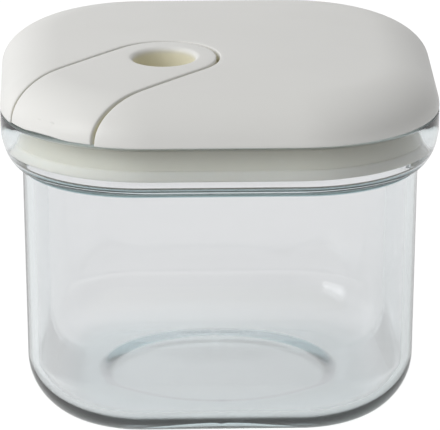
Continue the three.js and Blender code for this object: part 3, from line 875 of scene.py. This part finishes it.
def make_arm(side):
    """A crank arm from the hinge to the drive pin, rooted in the lever's heel."""
    low, high = on_side(ARM_IN, ARM_OUT, side)
    across = (-DRIVE_Z / CRANK * ARM_R, DRIVE_X / CRANK * ARM_R)
    link = [
        across,
        (-across[0], -across[1]),
        (DRIVE_X - across[0], DRIVE_Z - across[1]),
        (DRIVE_X + across[0], DRIVE_Z + across[1]),
    ]
    face = SLOT_R + ARM_BITE
    root = [(0, -ARM_ROOT), (face, -ARM_ROOT), (face, ARM_ROOT), (0, ARM_ROOT)]
    arm = mesh_object("arm", *cross_rod(0, 0, EAR_R, low, high))
    for part in (
        cross_rod(DRIVE_X, DRIVE_Z, ARM_R, low, high),
        cross_plate(link, low, high),
        cross_plate(root, low, high),
    ):
        join(arm, part)
    return arm


def make_lever():
    """Strip of the dome with a finger hole, a rounded heel and two crank arms."""
    lever = mesh_object("lever_strip", *lever_skin())
    mouth = [collar_level(LEVER_SKIN, COVER_Z)]
    hollow = mesh_object("hollow", *dome_inside(LEVER_SKIN, COVER_Z + HOLLOW_LIFT, mouth))
    strip = prism(strip_corners(LEVER_HALF - LEVER_SIDE, HINGE_X - HEEL_BACK), 0, FAR)
    combine(hollow, mesh_object("strip", *strip), "INTERSECT")
    hole_x, hole_y, _ = to_lid(HOLE_AT, 0, 0)
    tube = rod(hole_x, hole_y, HOLE_R + HOLE_WALL, HOLE_END_Z, FAR, HOLE_SIDES)
    cut(hollow, tube)
    combine(lever, hollow, "DIFFERENCE")

    below = hinge_box((-FAR, -FAR, -FAR), (-HEEL_R, FAR, LEVER_UNDER - HINGE_Z))
    cut(lever, below)
    under_heel = mesh_object("under_heel", *hinge_box((-HEEL_R - CLOSE, -FAR, -FAR), (FAR, FAR, 0)))
    cut(under_heel, cross_rod(0, 0, HEEL_R, -FAR / 2, FAR / 2))
    combine(lever, under_heel, "DIFFERENCE")

    neck = EAR_NECK + SIDE_GAP
    c, s = math.cos(-LEVER_RANGE), math.sin(-LEVER_RANGE)
    neck_corners = ((-FAR, -neck), (0, -neck), (0, neck), (-FAR, neck))
    swept = [(x * c + z * s, -x * s + z * c) for x, z in neck_corners]
    for part in (
        cross_rod(0, 0, SLOT_R, -SLOT_HALF, SLOT_HALF),
        hinge_box((-FAR / 4, -SLOT_HALF, -FAR), (0, SLOT_HALF, SLOT_R)),
        cross_plate(swept, -SLOT_HALF, SLOT_HALF),
    ):
        cut(lever, part)
    for side in (1, -1):
        combine(lever, make_arm(side), "UNION")
    pin_half = SLOT_HALF + BORE_PAST_SLOT
    for part in (
        cross_rod(0, 0, PIN_BORE, -pin_half, pin_half),
        cross_rod(DRIVE_X, DRIVE_Z, DRIVE_BORE, -SLOT_HALF, SLOT_HALF),
    ):
        cut(lever, part)
    return lever


def make_seal():
    """Band with a bead at its lower edge, a lip under the base and a wedge-shaped lip over it."""
    bead = ellipse((SEAL_OUT, SEAL_Z + SEAL_LIP), SEAL_BEAD, SEAL_LIP, 270, 90, 2 * ROUND_STEPS)
    section = [(SEAL_LIP_IN, SEAL_Z), *bead]
    section += arc(SEAL_OUT + SEAL_EDGE, SEAL_TOP - SEAL_EDGE, SEAL_EDGE, 180, 90, SMALL_EDGE_STEPS)
    section += [
        (SEAL_IN, SEAL_TOP),
        (SEAL_IN, WEDGE_Z + WEDGE_RISE),
        (SEAL_LIP_IN, WEDGE_Z),
        (SEAL_LIP_IN, UPPER_LIP_Z),
        (SEAL_IN, UPPER_LIP_Z),
        (SEAL_IN, SEAL_Z + SEAL_LIP),
        (SEAL_LIP_IN, SEAL_Z + SEAL_LIP),
    ]
    return mesh_object("seal_band", *ring(section))


def screw_places():
    turns = [side * QUARTER for side in range(4)]
    return [(SCREW_AT * math.cos(turn), SCREW_AT * math.sin(turn)) for turn in turns]


def make_base():
    """Plate under the lid, with a bored boss for each screw."""
    edge = arc(BASE_EDGE + BASE_ROUND_EDGE, BASE_Z + BASE_ROUND_EDGE, BASE_ROUND_EDGE, 270, 180)
    levels = [collar_level(inset, z) for inset, z in edge] + [collar_level(BASE_EDGE, BASE_TOP)]
    base = mesh_object("lid_underside", *stack(levels))
    boss_z = BASE_Z + (BASE_TOP - BASE_Z) / 2
    for x, y in screw_places():
        join(base, rod(x, y, BOSS_R, boss_z, BOSS_TOP))
        for radius, low, high in (
            (SCREW_HEAD_R + SCREW_FIT, BASE_Z - OVERCUT, SCREW_SEAT),
            (SCREW_R + SCREW_FIT, BASE_Z, BOSS_TOP + OVERCUT),
        ):
            cut(base, rod(x, y, radius, low, high))
    return base


def screw_profile():
    """Radius and height from the middle of the screw's head, which is below, to its tip."""
    seat = SCREW_SEAT - SCREW_FIT
    head_z = seat - SCREW_HEAD
    tip_z = seat + SCREW_LENGTH
    flat_r = SCREW_HEAD_R - SCREW_HEAD_ROUND
    profile = [(0.0, head_z)]
    for turn in np.linspace(0, QUARTER, HEAD_ROUND_POINTS):
        rise = SCREW_HEAD_ROUND * (1 - math.cos(turn))
        profile.append((flat_r + SCREW_HEAD_ROUND * math.sin(turn), head_z + rise))
    profile += [(SCREW_HEAD_R, seat), (SCREW_R, seat)]
    thread = np.arange(seat + THREAD_INSET, tip_z - THREAD_INSET, THREAD_PITCH)
    profile += [(SCREW_R - THREAD_DEPTH * (place % 2), z) for place, z in enumerate(thread)]
    return profile + [(SCREW_TIP_R, tip_z), (0.0, tip_z)]


def make_screw(number, x, y):
    """Pan-head screw with a cross in its head."""
    profile = screw_profile()
    points, faces, rows = [], [], []
    for radius, z in profile:
        if radius == 0:
            rows.append([len(points)] * ROD_SIDES)
            points.append((x, y, z))
        else:
            rows.append(list(range(len(points), len(points) + ROD_SIDES)))
            points += [(px, py, z) for px, py in circle(x, y, radius)]
    for low, high in zip(rows, rows[1:]):
        for side in range(ROD_SIDES):
            following = (side + 1) % ROD_SIDES
            corners = [low[side], low[following], high[following], high[side]]
            faces.append(tuple(dict.fromkeys(corners)))
    screw = mesh_object(f"screw_{number}_head", points, faces)
    head_z = profile[0][1]
    for half_x, half_y in ((CROSS_HALF, CROSS_SLOT_HALF), (CROSS_SLOT_HALF, CROSS_HALF)):
        low = (x - half_x, y - half_y, head_z - OVERCUT)
        high = (x + half_x, y + half_y, head_z + CROSS_DEPTH)
        cut(screw, box(low, high))
    return screw


# Finishes

class Value:
    """A socket of a finish, with arithmetic that adds Math nodes."""

    def __init__(self, finish, socket):
        self.finish = finish
        self.socket = socket

    def maths(self, operation, first, second):
        return self.finish.node("ShaderNodeMath", {"operation": operation}, {0: first, 1: second})

    def __add__(self, other):
        return self.maths("ADD", self, other)

    def __radd__(self, other):
        return self.maths("ADD", other, self)

    def __sub__(self, other):
        return self.maths("SUBTRACT", self, other)

    def __rsub__(self, other):
        return self.maths("SUBTRACT", other, self)

    def __mul__(self, other):
        return self.maths("MULTIPLY", self, other)

    def __rmul__(self, other):
        return self.maths("MULTIPLY", other, self)


class Finish:
    """A node tree for a material or the world."""

    def __init__(self, owner):
        owner.use_nodes = True
        self.tree = owner.node_tree
        self.tree.nodes.clear()

    def node(self, kind, settings, inputs, output=0):
        """Adds a node: settings first, then its sockets' values or links. Returns one output, if any."""
        made = self.tree.nodes.new(kind)
        for name, value in settings.items():
            setattr(made, name, value)
        for name, value in inputs.items():
            socket = made.inputs[name]
            if isinstance(value, Value):
                self.tree.links.new(value.socket, socket)
            elif socket.type == "RGBA":
                socket.default_value = (*value, 1)
            else:
                socket.default_value = value
        return Value(self, made.outputs[output]) if made.outputs else None

    def place(self):
        """Object coordinates, in metres."""
        return self.node("ShaderNodeTexCoord", {}, {}, "Object")

    def axis(self, vector, number):
        """One part of a vector: 0 for X, 1 for Y, 2 for Z."""
        return self.node("ShaderNodeSeparateXYZ", {}, {0: vector}, number)

    def ray(self, kind):
        """1 for light paths of a kind, 0 for others."""
        return self.node("ShaderNodeLightPath", {}, {}, kind)

    def noise(self, scale, detail, rough=0.5, vector=None):
        """Cloudy values from 0 to 1, over object coordinates unless another vector is given."""
        return self.node("ShaderNodeTexNoise", {}, {
            "Vector": vector or self.place(), "Scale": scale, "Detail": detail, "Roughness": rough})

    def mix(self, share, first, second):
        """A colour between two. Inputs 6 and 7 and output 2 are the node's colour sockets."""
        return self.node("ShaderNodeMix", {"data_type": "RGBA"}, {0: share, 6: first, 7: second}, 2)

    def ramp(self, value, low, high):
        """0 below low and 1 above high, smooth between."""
        return self.node("ShaderNodeMapRange", {"interpolation_type": "SMOOTHSTEP"}, {
            "Value": value, "From Min": low, "From Max": high})

    def band(self, value, low, high, soft):
        """1 between low and high, falling to 0 at them over a soft width."""
        return self.ramp(value, low, low + soft) * (1 - self.ramp(value, high - soft, high))

    def bump(self, height, strength, distance):
        return self.node("ShaderNodeBump", {}, {
            "Height": height, "Strength": strength, "Distance": distance})

    def close(self, surface, **others):
        """Ends a material's tree."""
        self.node("ShaderNodeOutputMaterial", {}, {"Surface": surface, **others})


def new_finish(name):
    made = bpy.data.materials.new(name)
    return made, Finish(made)


def clear_plastic():
    """Clear, with smudges, a frosted foot and a frosted rim and shoulder line; painted shade darkens the
    rim into a dark seam line, the shoulder line into a dark teal band (the thick plastic's teal plus
    painted shade) and the floor's recess into a grey band.
    """
    wall_tone = (0.935, 0.92, 0.925)
    base_tone = (0.985, 0.965, 0.975)
    rim_shade_tone = (0.28, 0.29, 0.26)
    shoulder_shade_tone = (0.20, 0.36, 0.40)
    recess_shade_tone = (0.72, 0.68, 0.70)
    frost_low, frost_high = 0.3 * MM, 12.0 * MM
    frost_in, frost_out = (20.0 * MM) ** 2, (40.0 * MM) ** 2
    fillet_low, fillet_high, fillet_soft = (SHOULDER_Z - 0.9) * MM, (SHOULDER_Z + 1.4) * MM, 0.3 * MM
    recess_in, recess_out = ((RECESS_R - RECESS_RUN) * MM) ** 2, (RECESS_R * MM) ** 2
    floor = FLOOR_Z * MM

    made, finish = new_finish("clear_plastic")
    smudge = finish.ramp(finish.noise(38.0, 4.0), 0.52, 0.72)
    wave = finish.noise(16.0, 1.0)
    across, along, height = (finish.axis(finish.place(), number) for number in range(3))
    reach_squared = across * across + along * along
    base = 1 - finish.ramp(height, 1.2 * floor, 2.0 * floor)
    frost = 1 - finish.ramp(height, frost_low, frost_high)
    frost = frost * (0.1 + finish.ramp(reach_squared, frost_in, frost_out))
    # painted shade: the rim's top goes dark, standing in for the shade in the seam under the lid
    rim = finish.ramp(height, (RIM_Z - RIM_ROUND) * MM, (RIM_Z - 0.3 * RIM_ROUND) * MM)
    # the thick plastic's teal with painted shade: a dark teal band along the shoulder's crease
    fillet = finish.band(height, fillet_low, fillet_high, fillet_soft)
    # painted shade: a grey band on the slope of the floor's recess
    recess = finish.band(reach_squared, recess_in, recess_out, 0.4 * (recess_out - recess_in))
    recess = recess * finish.ramp(height, 0.4 * floor, 0.8 * floor)
    recess = recess * (1 - finish.ramp(height, 1.2 * floor, 1.6 * floor))
    tone = finish.mix(base, wall_tone, base_tone)
    tone = finish.mix(rim * 0.85, tone, rim_shade_tone)
    tone = finish.mix(fillet * 0.9, tone, shoulder_shade_tone)
    clear = finish.node("ShaderNodeBsdfPrincipled", {}, {
        "Base Color": finish.mix(recess, tone, recess_shade_tone),
        "Roughness": 0.004 + smudge * 0.02 + frost * 0.1 + rim * 0.5 + fillet * 0.35,
        "IOR": 1.52,
        "Transmission Weight": 1.0,
        "Normal": finish.bump(wave, 0.05, 0.4 * MM),
    })
    lit = finish.node("ShaderNodeBsdfTransparent", {}, {"Color": (0.93, 0.95, 0.95)})
    surface = finish.node("ShaderNodeMixShader", {}, {0: finish.ray("Is Shadow Ray"), 1: clear, 2: lit})
    tint = finish.node("ShaderNodeVolumeAbsorption", {}, {"Color": (0.3, 0.9, 0.97), "Density": 12.0})
    finish.close(surface, Volume=tint)
    return made


def lid_plastic():
    """Satin off-white, with painted warm shade where it lies under the dome, as inside the finger hole."""
    outer_dark, outer_light = (0.80, 0.795, 0.765), (0.84, 0.838, 0.815)
    hollow_shade_tone = (0.86, 0.825, 0.65)
    made, finish = new_finish("lid_plastic")
    depth = finish.node("ShaderNodeAttribute", {"attribute_name": "depth"}, {}, "Fac")
    # painted warm shade: deeper under the dome the colour turns to the creamy tone of shaded hollows
    inside = finish.ramp(depth, 0.3 * MM, 2.5 * MM)
    cloud = finish.noise(22.0, 3.0)
    outer = finish.mix(cloud, outer_dark, outer_light)
    grain = finish.noise(2600.0, 2.0)
    rub = finish.ramp(finish.noise(60.0, 5.0), 0.5, 0.75)
    finish.close(finish.node("ShaderNodeBsdfPrincipled", {}, {
        "Base Color": finish.mix(inside, outer, hollow_shade_tone),
        "Roughness": 0.36 + rub * 0.08 + grain * 0.05,
        "IOR": 1.48,
        "Normal": finish.bump(grain, 0.12, 0.03 * MM),
    }))
    return made


def silicone():
    """Warm white, with painted shade towards the top of the band under the lid and a painted highlight on
    its bead, with a little dust.
    """
    band_dark, band_light = (0.80, 0.775, 0.67), (0.85, 0.83, 0.73)
    under_lid_shade_tone = (0.55, 0.53, 0.44)
    bead_highlight_tone = (0.93, 0.915, 0.85)
    dust_tone = (0.88, 0.88, 0.85)
    made, finish = new_finish("silicone")
    cloud = finish.noise(30.0, 4.0)
    dust = finish.ramp(finish.noise(420.0, 4.0, 0.7), 0.6, 0.8)
    height = finish.axis(finish.place(), 2)
    # painted shade: the band darkens towards its top, under the lid's edge
    under_lid_shade = finish.ramp(height, (BEAD_TOP - 0.1) * MM, (SEAL_TOP - 0.4) * MM)
    # painted highlight: the bead is lighter where it catches the light
    bead = 1 - finish.ramp(height, (BEAD_TOP - 0.7) * MM, (BEAD_TOP + 0.3) * MM)
    tone = finish.mix(cloud, band_dark, band_light)
    tone = finish.mix(under_lid_shade * 0.6, tone, under_lid_shade_tone)
    tone = finish.mix(bead * 0.8, tone, bead_highlight_tone)
    finish.close(finish.node("ShaderNodeBsdfPrincipled", {}, {
        "Base Color": finish.mix(dust * 0.35, tone, dust_tone),
        "Roughness": 0.5 + dust * 0.2,
        "IOR": 1.41,
        "Subsurface Weight": 0.15,
        "Subsurface Radius": (0.004, 0.0035, 0.003),
        "Subsurface Scale": 0.4,
        "Normal": finish.bump(finish.noise(900.0, 2.0), 0.15, 0.04 * MM),
    }))
    return made


def inner_plastic():
    """Matt white."""
    dark, light = (0.74, 0.73, 0.67), (0.80, 0.79, 0.74)
    made, finish = new_finish("inner_plastic")
    cloud = finish.noise(45.0, 4.0)
    grain = finish.noise(1500.0, 2.0)
    finish.close(finish.node("ShaderNodeBsdfPrincipled", {}, {
        "Base Color": finish.mix(cloud, dark, light),
        "Roughness": 0.5 + grain * 0.12,
        "Normal": finish.bump(grain, 0.15, 0.04 * MM),
    }))
    return made


def steel():
    """Plain steel with fine turning marks and a few dull spots."""
    bright, dull = (0.66, 0.67, 0.68), (0.5, 0.49, 0.47)
    made, finish = new_finish("steel")
    turned = finish.node("ShaderNodeMapping", {}, {"Vector": finish.place(), "Scale": (1.0, 1.0, 30.0)})
    streak = finish.noise(300.0, 3.0, vector=turned)
    spots = finish.ramp(finish.noise(700.0, 4.0), 0.58, 0.75)
    finish.close(finish.node("ShaderNodeBsdfPrincipled", {}, {
        "Base Color": finish.mix(spots, bright, dull),
        "Metallic": 1.0,
        "Roughness": 0.24 + streak * 0.16 + spots * 0.1,
        "Normal": finish.bump(streak, 0.1, 0.03 * MM),
    }))
    return made


# Dressing: each piece gets its finish and its body

CLEAR = clear_plastic()
LID = lid_plastic()
SILICONE = silicone()
INNER = inner_plastic()
STEEL = steel()


def set_material(made, material):
    made.data.materials.clear()
    made.data.materials.append(material)


def finish_piece(made, material, body, nodes, sharp=PIECE_SHARP):
    """Shades a piece, gives it its material and hangs it on its body in place of its solids."""
    set_material(made, material)
    made.data.shade_smooth()
    made.data.set_sharp_from_angle(angle=math.radians(sharp))
    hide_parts(*nodes)
    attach(made, body)


def mark_depth(made):
    """Stores how far each point of a lid piece lies under the dome, in metres, which sets its painted
    shade.
    """
    flat = np.zeros(3 * len(made.data.vertices))
    made.data.vertices.foreach_get("co", flat)
    points = flat.reshape(-1, 3) / MM
    under = np.maximum(dome_z(points[:, :2]) - points[:, 2], 0)
    _, _, reach = spoke(points[:, :2])
    inward = np.maximum(COLLAR_CORNER - reach, 0)
    depth = np.minimum(under, inward) * MM
    attribute = made.data.attributes.new("depth", "FLOAT", "POINT")
    attribute.data.foreach_set("value", depth.astype(np.float32))


def finish_lid_piece(made, body, node):
    """Finishes a piece of lid plastic, whose colour depends on its depth under the dome, as painted shade.
    """
    mark_depth(made)
    finish_piece(made, LID, body, [node])


finish_piece(make_jar(), CLEAR, "jar", ["jar"], JAR_SHARP)
finish_lid_piece(make_cover(), "lid", "lid_cover")
finish_lid_piece(make_lever(), "lever", "lever")
finish_piece(make_seal(), SILICONE, "lid", ["seal_ring"])
finish_lid_piece(make_base(), "lid", "lid_base")
for index, (screw_x, screw_y) in enumerate(screw_places(), 1):
    screw = make_screw(index, screw_x, screw_y)
    finish_piece(screw, STEEL, "lid", [f"screw_{index}"], SCREW_SHARP)
for node, material in (("expander_plate", INNER), ("hinge_pin", STEEL), ("drive_pin", STEEL)):
    set_material(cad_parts[node], material)


# Studio

def make_floor():
    """Pale paper that still takes the shadow, and shows white to the camera."""
    side, back = FLOOR_SIDE, FLOOR_BACK
    corners = [(-side, -side, 0), (side, -side, 0), (side, back, 0), (-side, back, 0)]
    mesh = bpy.data.meshes.new("studio_floor")
    mesh.from_pydata(corners, [], [(0, 1, 2, 3)])
    floor = add_object("studio_floor", mesh)
    floor.location.z = -FLOOR_DROP
    made, finish = new_finish("studio_floor")
    paper = finish.node("ShaderNodeBsdfDiffuse", {}, {"Color": PAPER})
    glow = finish.node("ShaderNodeEmission", {}, {"Color": WHITE, "Strength": FLOOR_GLOW})
    shown = finish.ray("Is Camera Ray") * FLOOR_SEEN
    shown = shown + finish.ray("Is Glossy Ray") * FLOOR_MIRRORED
    shown = shown + finish.ray("Is Transmission Ray") * FLOOR_THROUGH
    finish.close(finish.node("ShaderNodeMixShader", {}, {0: shown, 1: paper, 2: glow}))
    mesh.materials.append(made)


def make_world():
    """White to the camera. Its soft light is strongest from the left and from low behind."""
    world = bpy.data.worlds.new("studio")
    bpy.context.scene.world = world
    finish = Finish(world)
    way = finish.node("ShaderNodeTexCoord", {}, {}, "Generated")
    right, back, up = (finish.axis(way, number) for number in range(3))
    behind = finish.ramp(back, -0.35, 0.35)
    left = finish.ramp(0 - right, -0.1, 0.8)
    above = finish.ramp(up, 0.2, 0.9)
    horizon = finish.ramp(back, 0.5, 0.9) * (1 - finish.ramp(up, 0.15, 0.4))
    aside = finish.ramp(right, 0.2, 0.9) * (1 - behind)
    level = 0.3 + behind * 0.18 + left * 0.5 + above * 0.15 + horizon * 0.3 - aside * 0.3
    soft = finish.node("ShaderNodeBackground", {}, {"Color": WHITE, "Strength": level})
    white = finish.node("ShaderNodeBackground", {}, {"Color": WHITE, "Strength": 1.0})
    shown = finish.node("ShaderNodeMixShader", {}, {0: finish.ray("Is Camera Ray"), 1: soft, 2: white})
    finish.node("ShaderNodeOutputWorld", {}, {"Surface": shown})


def make_lamp():
    """A large soft lamp at the front left."""
    lamp = bpy.data.lights.new("key", "AREA")
    lamp.shape = "RECTANGLE"
    lamp.size = LAMP_WIDTH
    lamp.size_y = LAMP_HEIGHT
    lamp.energy = LAMP_POWER
    holder = add_object("key", lamp)
    holder.location = LAMP_AT
    aim = Vector(LAMP_AIM) - Vector(LAMP_AT)
    holder.rotation_euler = aim.to_track_quat("-Z", "Y").to_euler()


def make_camera():
    """The camera at the photo's viewing angle, from a fit to the photo's outlines."""
    lens = bpy.data.cameras.new("camera")
    lens.sensor_width = CAMERA_SENSOR
    lens.lens = CAMERA_LENS
    lens.clip_start = CAMERA_NEAR
    lens.clip_end = CAMERA_FAR
    camera = add_object("camera", lens)
    camera.location = CAMERA_AT
    camera.rotation_euler = (CAMERA_TILT, 0, CAMERA_PAN)
    bpy.context.scene.camera = camera


make_floor()
make_world()
make_lamp()
make_camera()
bpy.context.scene.view_settings.view_transform = "Standard"
